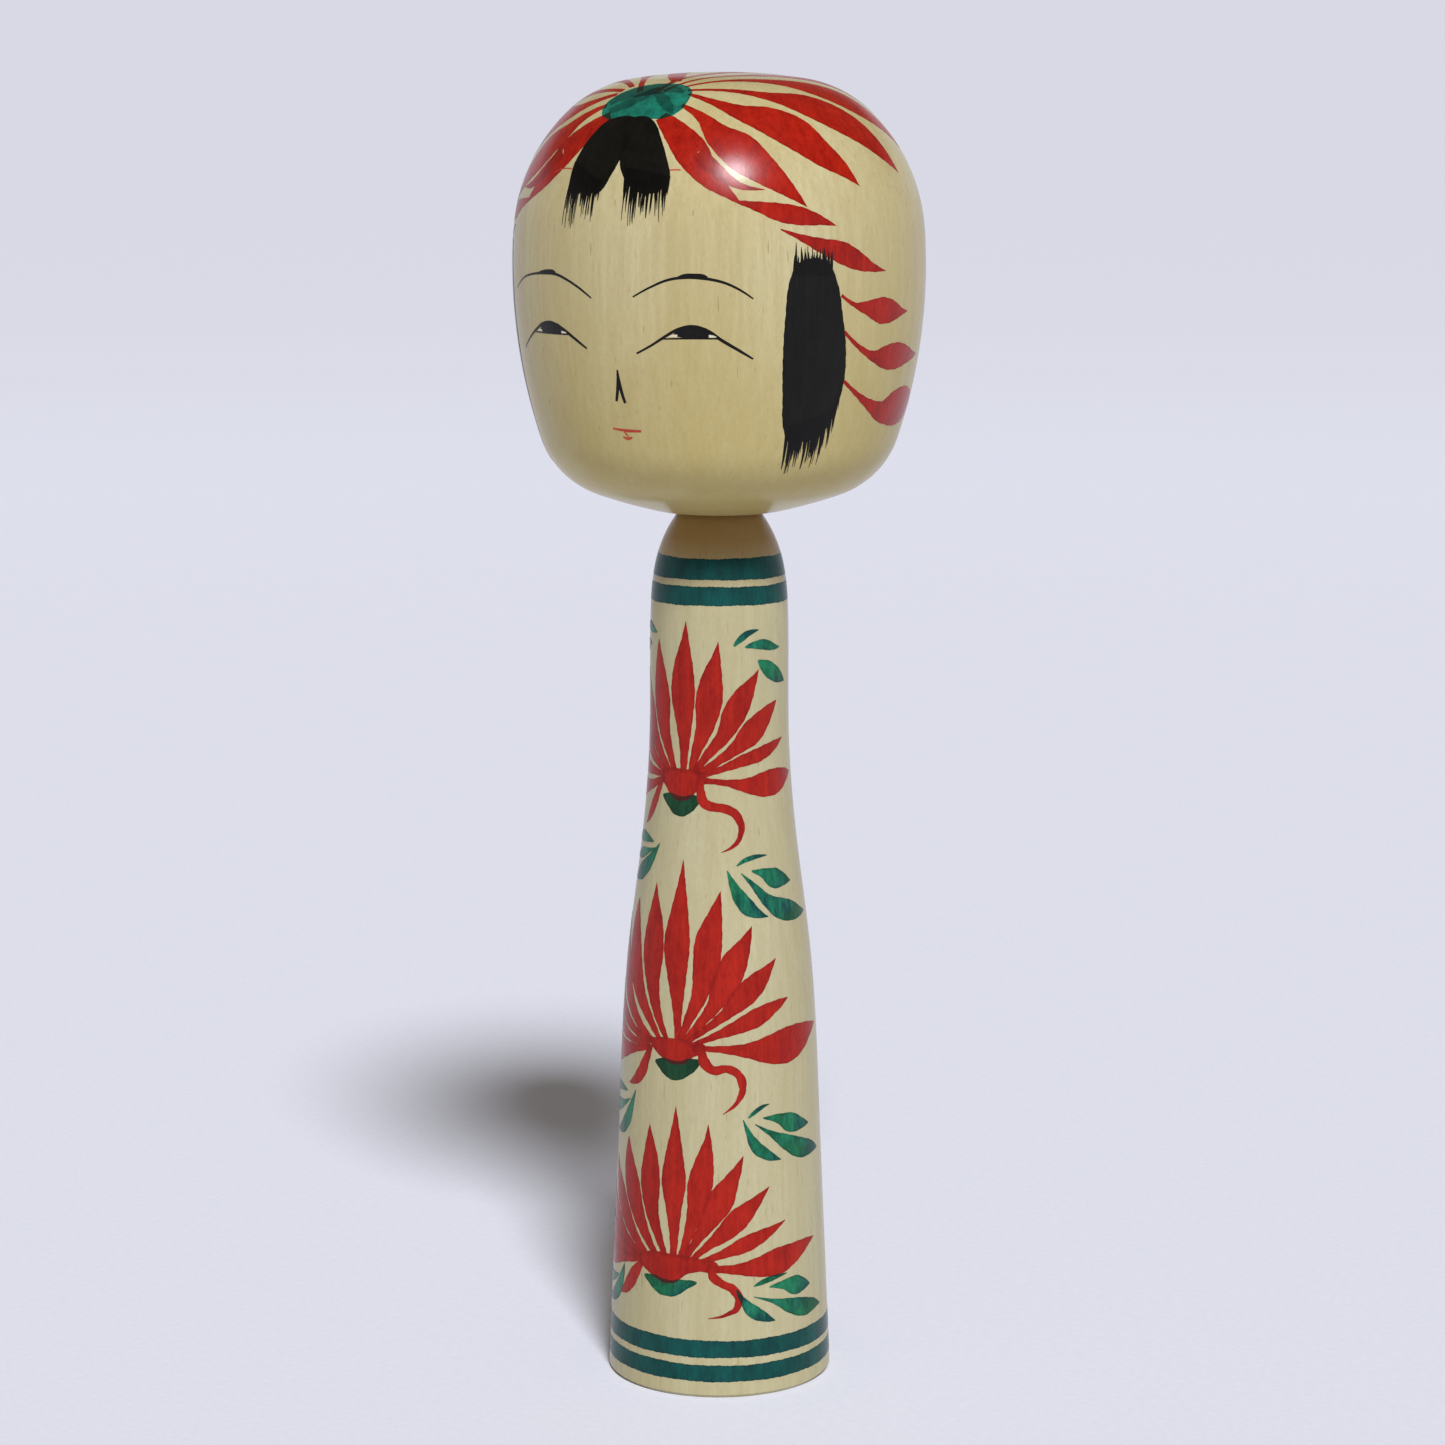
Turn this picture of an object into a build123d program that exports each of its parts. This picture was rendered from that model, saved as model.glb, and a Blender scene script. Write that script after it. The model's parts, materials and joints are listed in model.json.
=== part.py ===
from build123d import *
from math import radians, sin, tan
import os

# Two turned pieces of a standing wooden kokeshi doll: the body, whose neck ends in a tenon,
# and the head, which is bored to plug over it. Millimetres. The foot stands on z = 0, the
# turning axis is +Z, and the painted face looks along -Y.

# Height of the seam where the head sits on the neck
SEAM_HEIGHT = 161.5

# Body
FOOT_RADIUS = 20.9
FOOT_ROUNDING = 0.7
NECK_RADIUS = 7.4
NECK_EDGE_CHAMFER = 0.25

# Plug joint between neck and head
TENON_RADIUS = 5.5
TENON_LENGTH = 18.0
TENON_END_CHAMFER = 1.0
SOCKET_CLEARANCE = 0.05
SOCKET_SPARE_DEPTH = 1.5
SOCKET_MOUTH_CHAMFER = 0.4
DRILL_POINT_ANGLE = 118.0
SEAM_GAP = 0.05

# Head
HEAD_UNDERSIDE_RADIUS = 9.2

# Outline of the body's side, radius and height, between the foot and the neck
BODY_SIDE = [
    (20.0, 20.0),
    (18.7, 50.0),
    (16.95, 80.0),
    (14.45, 100.0),
    (12.85, 120.0),
    (12.65, 142.0),
    (11.2, 154.0),
]

# Outline of the head as arcs that run on from one another, radius and turn in degrees, from
# the flat underside round the jaw, cheek, temple and shoulder of the crown. A flatter arc
# closes the crown on the axis, 240 mm above the foot.
HEAD_ARCS = [
    (12.2, 13.1),
    (98.0, 6.5),
    (15.75, 52.1),
    (96.66, 22.5),
    (32.0, 42.0),
    (21.95, 35.45),
]

neck_top = SEAM_HEIGHT - SEAM_GAP
tenon_top = neck_top + TENON_LENGTH
socket_radius = TENON_RADIUS + SOCKET_CLEARANCE
socket_depth = SEAM_GAP + TENON_LENGTH + SOCKET_SPARE_DEPTH

os.makedirs("parts", exist_ok=True)

# The body is turned in one piece: foot, flared skirt, slim waist, rounded shoulder, neck and
# tenon.
with BuildPart() as body:
    with BuildSketch(Plane.XZ):
        with BuildLine():
            foot = Line((0, 0), (FOOT_RADIUS, 0))
            side = Spline([foot @ 1, *BODY_SIDE, (NECK_RADIUS, neck_top)])
            seat = Line(side @ 1, (TENON_RADIUS, neck_top))
            tenon = Line(seat @ 1, (TENON_RADIUS, tenon_top))
            Polyline(tenon @ 1, (0, tenon_top), (0, 0))
        make_face()
    revolve(axis=Axis.Z)
    rims = body.edges().filter_by(GeomType.CIRCLE)
    fillet(rims.filter_by_position(Axis.Z, -0.01, 0.01), FOOT_ROUNDING)
    chamfer(rims.filter_by_position(Axis.Z, tenon_top - 0.01, tenon_top + 0.01), TENON_END_CHAMFER)
    neck_rims = rims.filter_by_position(Axis.Z, neck_top - 0.01, neck_top + 0.01)
    chamfer(neck_rims.sort_by(SortBy.RADIUS)[-1], NECK_EDGE_CHAMFER)
body.part.label = "body"

# The head is a flattened ball with a small flat underside that meets the neck, drilled up the
# axis for the tenon.
with BuildPart() as head:
    with BuildSketch(Plane.XZ):
        with BuildLine():
            edge = Line((0, SEAM_HEIGHT), (HEAD_UNDERSIDE_RADIUS, SEAM_HEIGHT))
            for arc_radius, turn in HEAD_ARCS:
                edge = JernArc(edge @ 1, edge % 1, arc_radius, turn)
            crown_turn = 180 - sum(turn for _, turn in HEAD_ARCS)
            crown_radius = (edge @ 1).X / sin(radians(crown_turn))
            crown = JernArc(edge @ 1, edge % 1, crown_radius, crown_turn)
            Line(crown @ 1, (0, SEAM_HEIGHT))
        make_face()
    revolve(axis=Axis.Z)
    with Locations((0, 0, SEAM_HEIGHT)):
        Cylinder(
            socket_radius,
            socket_depth,
            align=(Align.CENTER, Align.CENTER, Align.MIN),
            mode=Mode.SUBTRACT,
        )
    drill_point_height = socket_radius / tan(radians(DRILL_POINT_ANGLE / 2))
    with Locations((0, 0, SEAM_HEIGHT + socket_depth)):
        Cone(
            socket_radius,
            0,
            drill_point_height,
            align=(Align.CENTER, Align.CENTER, Align.MIN),
            mode=Mode.SUBTRACT,
        )
    mouth = head.edges().filter_by(GeomType.CIRCLE).group_by(Axis.Z)[0].sort_by(SortBy.RADIUS)[0]
    chamfer(mouth, SOCKET_MOUTH_CHAMFER)
head.part.label = "head"

export_step(body.part, "parts/body.step")
export_step(head.part, "parts/head.step")
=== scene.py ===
import json
import math
import random
from collections import namedtuple

import bpy
import numpy as np
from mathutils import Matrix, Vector
from mathutils.geometry import delaunay_2d_cdt

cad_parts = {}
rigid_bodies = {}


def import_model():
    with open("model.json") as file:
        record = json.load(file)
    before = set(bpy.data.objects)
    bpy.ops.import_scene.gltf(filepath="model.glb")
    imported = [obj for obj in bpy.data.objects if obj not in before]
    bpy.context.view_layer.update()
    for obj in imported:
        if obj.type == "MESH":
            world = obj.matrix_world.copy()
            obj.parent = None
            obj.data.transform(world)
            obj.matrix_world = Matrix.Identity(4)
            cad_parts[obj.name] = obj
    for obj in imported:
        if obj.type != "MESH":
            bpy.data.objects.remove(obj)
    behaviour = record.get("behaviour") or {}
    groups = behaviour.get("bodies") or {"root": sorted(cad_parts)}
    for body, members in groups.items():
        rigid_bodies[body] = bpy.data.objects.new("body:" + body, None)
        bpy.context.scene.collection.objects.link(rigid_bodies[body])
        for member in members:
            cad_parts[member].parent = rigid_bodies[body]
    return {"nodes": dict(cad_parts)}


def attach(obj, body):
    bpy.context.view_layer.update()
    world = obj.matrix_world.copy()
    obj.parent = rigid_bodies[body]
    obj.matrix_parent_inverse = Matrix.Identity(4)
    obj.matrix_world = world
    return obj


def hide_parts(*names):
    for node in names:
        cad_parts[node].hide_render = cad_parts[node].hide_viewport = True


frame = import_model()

# The looks of a painted kokeshi doll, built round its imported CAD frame.
#
# Two turned pieces of wood replace the CAD nodes with finer meshes of the same outline. All the
# painting is thin closed films that lie on the wood, one for each thing that is painted. A film
# is drawn flat, as brush strokes on a chart of the turned surface, and then laid on the wood.
#
# Lengths on the charts are millimetres and angles are degrees. Azimuth 0 is the front of the
# face, towards -Y, and grows towards +X, the doll's left. The body's charts use the height above
# the foot. The head's charts use the depth, which is the distance along the wood from the crown.

for startup in list(bpy.data.objects):
    if startup.name in ("Cube", "Light", "Camera"):
        bpy.data.objects.remove(startup, do_unlink=True)
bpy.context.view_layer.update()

MM = 0.001
# All unevenness comes from this one row of random numbers
SEED = 11
draw = random.Random(SEED)

# Where the outside of a CAD node ends, in millimetres. The head's is outside the flat ring under
# it and high above the socket, and the body's is below the seam and outside the neck. The socket
# and the tenon are inside JOINT_RADIUS.
SEAM_HEIGHT = 161.5
UNDERSIDE_RADIUS = 8.9
ABOVE_SOCKET = 30
NECK_RADIUS = 7.0
JOINT_RADIUS = 6

# How far the paint stands up, in millimetres. The wood is drawn in by SKIN, so that the paint on
# it stays inside the CAD model.
SKIN = 0.06
FILM_LIFT = 0.022
LAYER_LIFT = 0.012
FILM_ROOT = -0.03

# How finely things are drawn, and what counts as the same place, in millimetres
OUTLINE_STEP = 0.6
ROW_STEP = 0.1
ROWS_APART = 0.3
SAME_HEIGHT = 0.006
ON_AXIS = 0.05
SAME_PLACE = 0.01
STROKE_STEP = 0.24
FILM_GRID = 0.8
TURNED_SEGMENTS = 300
BAND_SEGMENTS = 720
BAND_ROWS = 6
POINTS_AT_ONCE = 500
# A turned edge sharper than this, in degrees, isn't shaded as round
SHARP_EDGE = 35

# An uneven edge is several waves, each with its share of the longest one's length and size. Thin
# strokes and the ends of an outline are less uneven. In millimetres, but for the shares.
WAVE_SHARES = (1.0, 0.47, 0.21, 0.12)
WAVES_TOGETHER = 1.5
BRUSH_WAVE = 2.6
PATCH_WAVE = 2.3
THIN_HALF = 0.6
FADE_STEPS = 6
# The waves of a band's edges: how many go round the body, and their size in millimetres
BAND_WAVES = ((3, 0.06), (11, 0.04), (37, 0.03), (90, 0.03), (170, 0.025), (290, 0.02))

# How strong the dye is, and how far along the stroke a band and all of a patch count as
BRUSH_TONES = (0.3, 0.7)
PATCH_TONE = 0.5
PATCH_ALONG = 0.5
BAND_ALONG = 0.6

# A stroke's closed outline, how far along the stroke each of its points is, and its strength
Stroke = namedtuple("Stroke", "ring along tone")


# ---- curves on the flat charts

def smooth_curve(points, step):
    """Rows a step apart along a smooth curve through the given rows. The first two columns are
    the place, and any others, such as a width, change smoothly with it."""
    rows = np.asarray(points, float)
    chord = np.maximum(np.hypot(*np.diff(rows[:, :2], axis=0).T), 1e-6)
    along = np.concatenate([[0.0], np.cumsum(chord)])
    slope = np.diff(rows, axis=0) / chord[:, None]
    tangent = np.empty_like(rows)
    before, after = chord[:-1, None], chord[1:, None]
    tangent[1:-1] = (slope[:-1] * after + slope[1:] * before) / (before + after)
    tangent[0] = slope[0] if len(rows) == 2 else 1.5 * slope[0] - 0.5 * tangent[1]
    tangent[-1] = slope[-1] if len(rows) == 2 else 1.5 * slope[-1] - 0.5 * tangent[-2]
    count = max(int(round(along[-1] / step)), 3)
    place = np.linspace(0, along[-1], count + 1)
    i = np.clip(np.searchsorted(along, place, side="right") - 1, 0, len(chord) - 1)
    h = chord[i][:, None]
    x = (place - along[i])[:, None] / h
    return (
        (2 * x**3 - 3 * x**2 + 1) * rows[i]
        + (x**3 - 2 * x**2 + x) * h * tangent[i]
        + (3 * x**2 - 2 * x**3) * rows[i + 1]
        + (x**3 - x**2) * h * tangent[i + 1]
    )


def left_of(row):
    """The unit direction to the left of a line of points, at each of them."""
    ahead = np.gradient(row, axis=0)
    ahead /= np.maximum(np.linalg.norm(ahead, axis=1), 1e-9)[:, None]
    return np.c_[-ahead[:, 1], ahead[:, 0]]


def unevenness(count, wave):
    """A smooth random line of about unit size, one value for each step of a stroke."""
    place = np.arange(count) * STROKE_STEP
    line = np.zeros(count)
    for share in WAVE_SHARES:
        line += share * np.sin(2 * math.pi * place / (wave * share) + draw.uniform(0, 2 * math.pi))
    return line / WAVES_TOGETHER


def brush(points, ragged):
    """A brush stroke along points of (x, y, half width) in chart millimetres."""
    row = smooth_curve(points, STROKE_STEP)
    place, half = row[:, :2], np.maximum(row[:, 2], 0.0)
    side = left_of(place)
    edges = []
    for sign in (1, -1):
        rough = unevenness(len(row), BRUSH_WAVE) * ragged * np.minimum(half / THIN_HALF, 1.0)
        edges.append(place + sign * side * (half + rough)[:, None])
    share = np.linspace(0, 1, len(row))
    tone = draw.uniform(*BRUSH_TONES)
    return tidy(np.vstack([edges[0], edges[1][::-1]]), np.r_[share, share[::-1]], tone)


def patch(points, ragged):
    """A filled shape whose rounded outline goes through points in chart millimetres."""
    ring = np.asarray(points, float)
    wrapped = smooth_curve(np.vstack([ring[-2:], ring, ring[:2]]), STROKE_STEP)
    first = np.argmin(np.hypot(*(wrapped[: len(wrapped) // 2] - ring[0]).T))
    half_way = len(wrapped) // 2
    last = half_way + np.argmin(np.hypot(*(wrapped[half_way:] - ring[0]).T))
    row = wrapped[first:last]
    steps = np.arange(len(row))
    fade = np.minimum(np.minimum(steps, steps[::-1]) / FADE_STEPS, 1)
    rough = unevenness(len(row), PATCH_WAVE) * ragged * fade
    ring = row + left_of(row) * rough[:, None]
    return tidy(ring, np.full(len(row), PATCH_ALONG), PATCH_TONE)


def tidy(ring, along, tone):
    """The stroke with no two neighbours in one place, its outline turning anticlockwise."""
    kept = np.linalg.norm(ring - np.roll(ring, 1, axis=0), axis=1) > SAME_PLACE
    ring, along = ring[kept], along[kept]
    x, y = ring.T
    if np.sum(x * np.roll(y, -1) - np.roll(x, -1) * y) < 0:
        ring, along = ring[::-1], along[::-1]
    return Stroke(ring, along, tone)


def inside(ring, points):
    """Which points lie inside the ring."""
    x, y = points.T
    result = np.zeros(len(points), bool)
    for (ax, ay), (bx, by) in zip(ring, np.roll(ring, -1, axis=0)):
        if ay != by:
            crosses = (ay > y) != (by > y)
            result ^= crosses & (x < (bx - ax) * (y - ay) / (by - ay) + ax)
    return result


# ---- the turned surfaces

class Turned:
    """The outside of a turned CAD node, read from the node's own vertices: rows of radius and
    height, with the distance along them from the crown or the height as the way in to them."""

    def __init__(self, node):
        mesh = frame["nodes"][node].data
        place = np.array([v.co for v in mesh.vertices]) / MM
        radius, height = np.hypot(place[:, 0], place[:, 1]), place[:, 2]
        is_head = node == "head"
        self.node, self.is_head = node, is_head
        if is_head:
            shown = (radius > UNDERSIDE_RADIUS) | (height > SEAM_HEIGHT + ABOVE_SOCKET)
        else:
            shown = (height < SEAM_HEIGHT + 0.001) & (radius > NECK_RADIUS)
        self.hidden = np.c_[radius[~shown], height[~shown]]
        rows = smooth_curve(self.outline(radius[shown], height[shown]), ROW_STEP)
        if is_head:
            rows = rows[::-1]
        slope = np.gradient(rows, axis=0) * (-1 if is_head else 1)
        slope /= np.linalg.norm(slope, axis=1)[:, None]
        self.out, self.up = slope[:, 1], -slope[:, 0]
        self.key = rows[:, 1].copy()
        if is_head:
            self.key = np.r_[0, np.cumsum(np.hypot(*np.diff(rows, axis=0).T))]
        self.radius = np.maximum(rows[:, 0] - SKIN * self.out, 0.0)
        self.height = rows[:, 1] - SKIN * np.maximum(self.up, 0)

    @staticmethod
    def outline(radius, height):
        """The (radius, height) rows from low to high, the widest at each height."""
        rows = []
        for z in np.unique(np.round(height, 2)):
            row = (radius[np.abs(height - z) < SAME_HEIGHT].max(), z)
            if not rows or math.dist(row, rows[-1]) > ROWS_APART:
                rows.append(row)
            elif z == np.round(height, 2).max():
                rows[-1] = row
        return rows

    def lay(self, azimuth, down, lift):
        """Points and normals on the wood, raised by lift along the normal."""
        out, up = np.interp(down, self.key, self.out), np.interp(down, self.key, self.up)
        ring = np.c_[np.sin(np.radians(azimuth)), -np.cos(np.radians(azimuth))]
        normal = np.c_[ring * out[:, None], up]
        normal /= np.linalg.norm(normal, axis=1)[:, None]
        r, z = np.interp(down, self.key, self.radius), np.interp(down, self.key, self.height)
        return np.c_[ring * r[:, None], z] + normal * lift, normal


class Wrap:
    """A chart wrapped round the axis: x is the azimuth times a fixed radius, y the height, or on
    the head the depth, counted downwards."""

    def __init__(self, surface, radius):
        self.surface = surface
        self.per_degree = math.radians(radius)
        self.sign = -1 if surface.is_head else 1

    def flat(self, rows, mirror=False):
        """Rows of (azimuth, height or depth, half width) as chart rows."""
        turn = -self.per_degree if mirror else self.per_degree
        return [(azimuth * turn, self.sign * down, *rest) for azimuth, down, *rest in rows]

    def surface_place(self, points):
        return points[:, 0] / self.per_degree, self.sign * points[:, 1]


class Crown:
    """A chart seen from above the head: +x is the doll's left, -y its face, and the distance
    from the middle is the depth."""

    def __init__(self, surface):
        self.surface = surface

    def flat(self, rows, mirror=False):
        return [(-x if mirror else x, *rest) for x, *rest in rows]

    def surface_place(self, points):
        azimuth = np.degrees(np.arctan2(points[:, 0], -points[:, 1]))
        return azimuth, np.hypot(points[:, 0], points[:, 1])


# ---- meshes

def in_scene(name, data):
    thing = bpy.data.objects.new(name, data)
    bpy.context.scene.collection.objects.link(thing)
    return thing


def new_mesh(name, vertices, faces, material):
    mesh = bpy.data.meshes.new(name)
    mesh.from_pydata([tuple(v) for v in vertices], [], faces)
    mesh.materials.append(material)
    mesh.polygons.foreach_set("use_smooth", [True] * len(mesh.polygons))
    return in_scene(name, mesh)


def new_piece(name, vertices, faces, body, material, slot):
    thing = new_mesh(name, vertices, faces, material)
    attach(thing, body)
    return thing


def turn_wood(name, surface, material):
    """The wood of one turned piece, with its socket or tenon, turned from the CAD outline."""
    node = surface.node
    count = int(surface.key[-1] / OUTLINE_STEP)
    place = np.linspace(surface.key[0], surface.key[-1], count)
    shown = np.c_[
        np.interp(place, surface.key, surface.radius), np.interp(place, surface.key, surface.height)
    ]
    joint = surface.hidden[surface.hidden[:, 0] < JOINT_RADIUS]
    if surface.is_head:
        bore = [(r, z) for z, r in sorted({(round(z, 2), round(r, 2)) for r, z in joint})]
        loop = [*bore[::-1], *shown[::-1]]
    else:
        tenon = [(r, z) for z, r in sorted({(round(z, 2), -round(r, 2)) for r, z in joint})]
        tenon = [(-r, z) for r, z in tenon if z > SEAM_HEIGHT - 1]
        loop = [(0, 0), *shown, *tenon]
    if loop[-1][0] > ON_AXIS:
        loop.append((0, loop[-1][1]))
    if loop[0][0] > ON_AXIS:
        loop.insert(0, (0, loop[0][1]))
    vertices, rings = [], []
    for r, z in loop:
        if r < ON_AXIS:
            rings.append([len(vertices)] * TURNED_SEGMENTS)
            vertices.append((0, 0, z * MM))
            continue
        rings.append(range(len(vertices), len(vertices) + TURNED_SEGMENTS))
        for k in range(TURNED_SEGMENTS):
            turn = 2 * math.pi * k / TURNED_SEGMENTS
            vertices.append((r * math.sin(turn) * MM, -r * math.cos(turn) * MM, z * MM))
    faces = []
    for low, high in zip(rings, rings[1:]):
        for k in range(TURNED_SEGMENTS):
            n = (k + 1) % TURNED_SEGMENTS
            faces.append(tuple(dict.fromkeys((low[k], low[n], high[n], high[k]))))
    wood = new_piece(name, vertices, faces, node, material, "wood")
    wood.data.set_sharp_from_angle(angle=math.radians(SHARP_EDGE))
    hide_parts(node)


def close_film(name, surface, azimuth, down, triangles, layer, facts, dye):
    """A thin closed film: the triangles on top of the wood, the same ones just under its skin,
    and a wall round their rim. facts are numbers on the vertices or the faces of the top."""
    top, normal = surface.lay(azimuth, down, FILM_LIFT + LAYER_LIFT * layer)
    root, _ = surface.lay(azimuth, down, FILM_ROOT)
    count = len(top)
    a, b, c = triangles.T
    faces_out = np.einsum("ij,ij->i", np.cross(top[b] - top[a], top[c] - top[a]), normal[a]) > 0
    triangles = np.where(faces_out[:, None], triangles, triangles[:, ::-1])
    sides = set()
    for p, q, r in triangles.tolist():
        sides.update(((p, q), (q, r), (r, p)))
    rim = sorted((m, n) for m, n in sides if (n, m) not in sides)
    faces = triangles.tolist() + (triangles[:, ::-1] + count).tolist()
    faces += [(n, m, count + m, count + n) for m, n in rim]
    film = new_piece(name, np.vstack([top, root]) * MM, faces, surface.node, *DYES[dye])
    for label, values in facts.items():
        on_faces = len(values) == len(triangles)
        whole = np.r_[values, values]
        if on_faces:
            whole = np.r_[whole, np.full(len(rim), values[0])]
        attribute = film.data.attributes.new(label, "FLOAT", "FACE" if on_faces else "POINT")
        attribute.data.foreach_set("value", whole.astype(float))
    film.data.normals_split_custom_set_from_vertices(np.vstack([normal, -normal]).tolist())


def paint(name, chart, strokes, dye, under=(), layer=0):
    """A film of dye on the wood in the shape of all the strokes together. under holds strokes of
    another dye below, where the film is darker."""
    rings = [s.ring for s in (*strokes, *under)]
    low = np.min([s.ring.min(0) for s in strokes], axis=0)
    high = np.max([s.ring.max(0) for s in strokes], axis=0)
    x, y = np.meshgrid(*(np.arange(low[k], high[k], FILM_GRID) for k in (0, 1)))
    x[1::2] += FILM_GRID / 2
    grid = np.c_[x.ravel(), y.ravel()]
    kept = np.zeros(len(grid), bool)
    for stroke in strokes:
        near = np.flatnonzero(((grid >= stroke.ring.min(0)) & (grid <= stroke.ring.max(0))).all(1))
        kept[near] |= inside(stroke.ring, grid[near])
    ends = np.cumsum([0, *map(len, rings)])
    outlines = [list(range(a, b)) for a, b in zip(ends, ends[1:])]
    points = [Vector(p) for p in np.vstack([*rings, grid[kept]])]
    place, _, triangles, _, _, sources = delaunay_2d_cdt(points, [], outlines, 0, 1e-4)
    mine = [i for i, found in enumerate(sources) if any(k < len(strokes) for k in found)]
    used = sorted({v for i in mine for v in triangles[i]})
    number = {v: n for n, v in enumerate(used)}
    made = np.array([[number[v] for v in triangles[i]] for i in mine])
    flat = np.array([place[v] for v in used])
    over = [[k for k in sources[i] if k < len(strokes)] for i in mine]
    edge_points = np.vstack([s.ring for s in strokes])
    edge_share = np.concatenate([s.along for s in strokes])
    edge, along = [], []
    for group in np.array_split(flat, len(flat) // POINTS_AT_ONCE + 1):
        apart = np.linalg.norm(group[:, None] - edge_points, axis=2)
        edge.append(apart.min(1))
        along.append(edge_share[apart.argmin(1)])
    facts = {
        "overlap": np.array([len(k) - 1.0 for k in over]),
        "under": np.array([float(len(sources[i]) > len(k)) for i, k in zip(mine, over)]),
        "tone": np.array([strokes[max(k)].tone for k in over]),
        "edge": np.concatenate(edge),
        "along": np.concatenate(along),
    }
    close_film(name, chart.surface, *chart.surface_place(flat), made, layer, facts, dye)


def paint_band(name, low, high):
    """A green band painted right round the turning body, with edges as uneven as a brush's."""
    count, rows = BAND_SEGMENTS, BAND_ROWS
    turn = np.arange(count) * 2 * math.pi / count
    edges = []
    for height in (low, high):
        line = np.zeros(count)
        for waves, size in BAND_WAVES:
            line += size * np.sin(waves * turn + draw.uniform(0, 2 * math.pi))
        edges.append(height + line)
    share = np.linspace(0, 1, rows)[:, None]
    height = (edges[0] * (1 - share) + edges[1] * share).ravel()
    azimuth = np.tile(np.degrees(turn), rows)
    triangles = []
    for row in range(rows - 1):
        for k in range(count):
            n = (k + 1) % count
            a, b = row * count + k, row * count + n
            triangles += [(a, b, b + count), (a, b + count, a + count)]
    edge = np.minimum(share, 1 - share) * (high - low) * np.ones(count)
    facts = {"edge": edge.ravel(), "along": np.full(rows * count, BAND_ALONG)}
    close_film(name, BODY, azimuth, height, np.array(triangles), 0, facts, "band")


# ---- materials

# Noises: waves a metre, detail, roughness and, for what runs along the piece, the stretch
CLOUDS = (60, 5, 0.6, (1, 1, 0.12))
GROWTH_RINGS = (140, 3, 0.6, (1, 1, 0.06))
FINE_FIBRES = (900, 4, 0.6, (1, 1, 0.05))
SPECKLES = (2600, 2, 0.6, (1, 1, 0.3))
PORES = (2100, 1, 0.5, (1, 1, 0.09))
BLOTS = (330, 4, 0.65, (1, 1, 0.6))
HUES = (110, 2, 0.5)
FLECKS = (1300, 2, 0.6)
WOOD_GLOSS = (160, 3, 0.6)
DYE_GLOSS = (200, 3, 0.6)
PAPER_FIBRES = (700, 4, 0.6)
# How deep the fibres are under the wax, in metres, and how much the wax mirrors
FIBRE_DEPTH = 0.000012
WAX_SPECULAR = 0.18


class Graph:
    """A material under construction: add() makes a node, sets its sockets and links them. A
    socket is called by its name, or as n and its number."""

    def __init__(self, name):
        self.material = bpy.data.materials.new(name)
        self.material.use_nodes = True
        self.tree = self.material.node_tree
        self.tree.nodes.clear()
        output = self.add("ShaderNodeOutputMaterial")
        self.shader = self.add("ShaderNodeBsdfPrincipled")
        self.tree.links.new(self.shader.outputs[0], output.inputs["Surface"])

    def add(self, kind, settings=None, **sockets):
        made = self.tree.nodes.new(kind)
        for key, value in (settings or {}).items():
            setattr(made, key, value)
        for key, value in sockets.items():
            self.set(made, key.replace("_", " "), value)
        return made

    def set(self, target, socket, value):
        socket = int(socket[1:]) if socket[0] == "n" and socket[1:].isdigit() else socket
        if isinstance(value, bpy.types.NodeSocket):
            self.tree.links.new(value, target.inputs[socket])
        else:
            target.inputs[socket].default_value = value

    def math(self, operation, a, b=0.0):
        made = self.add("ShaderNodeMath", {"operation": operation}, n0=a, n1=b)
        return made.outputs[0]

    def place(self):
        return self.add("ShaderNodeTexCoord").outputs["Object"]

    def noise(self, scale, detail, roughness, stretch=(1, 1, 1)):
        """A noise over the object's own coordinates."""
        squeezed = self.add("ShaderNodeMapping", Vector=self.place(), Scale=stretch).outputs[0]
        made = self.add(
            "ShaderNodeTexNoise", Vector=squeezed, Scale=scale, Detail=detail, Roughness=roughness
        )
        return made.outputs[0]

    def spread(self, value, low, high, start=0.0, end=1.0):
        """The value stretched, so that low becomes start and high becomes end, and held there."""
        made = self.add(
            "ShaderNodeMapRange", n0=value, n1=float(low), n2=float(high), n3=start, n4=end
        )
        return made.outputs[0]

    def mix(self, share, a, b):
        made = self.add("ShaderNodeMix", {"data_type": "RGBA"})
        self.set(made, "n0", share)
        self.set(made, "n6", a)
        self.set(made, "n7", b)
        return made.outputs[2]

    def fact(self, label):
        return self.add("ShaderNodeAttribute", {"attribute_name": label}).outputs["Fac"]

    def gloss(self, roughness, bump, depth, **fixed):
        self.set(self.shader, "Roughness", roughness)
        bumped = self.add("ShaderNodeBump", Height=bump, Distance=depth, Strength=1.0)
        self.set(self.shader, "Normal", bumped.outputs[0])
        for key, value in fixed.items():
            self.set(self.shader, key.replace("_", " "), value)
        return self.material


def colour(red, green, blue):
    """An opaque colour from its sRGB parts, 0 to 255."""
    return (*(((c / 255 + 0.055) / 1.055) ** 2.4 for c in (red, green, blue)), 1.0)


def wood_fibres(graph):
    """The fine grain that all the paint shows through: streaks along the turning axis."""
    fine = graph.math("MULTIPLY", graph.noise(*FINE_FIBRES), 0.6)
    speckle = graph.math("MULTIPLY", graph.noise(*SPECKLES), 0.4)
    return graph.math("ADD", fine, speckle)


# Where one dye lies over another
DYE_CROSSED = colour(26, 20, 12)


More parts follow.
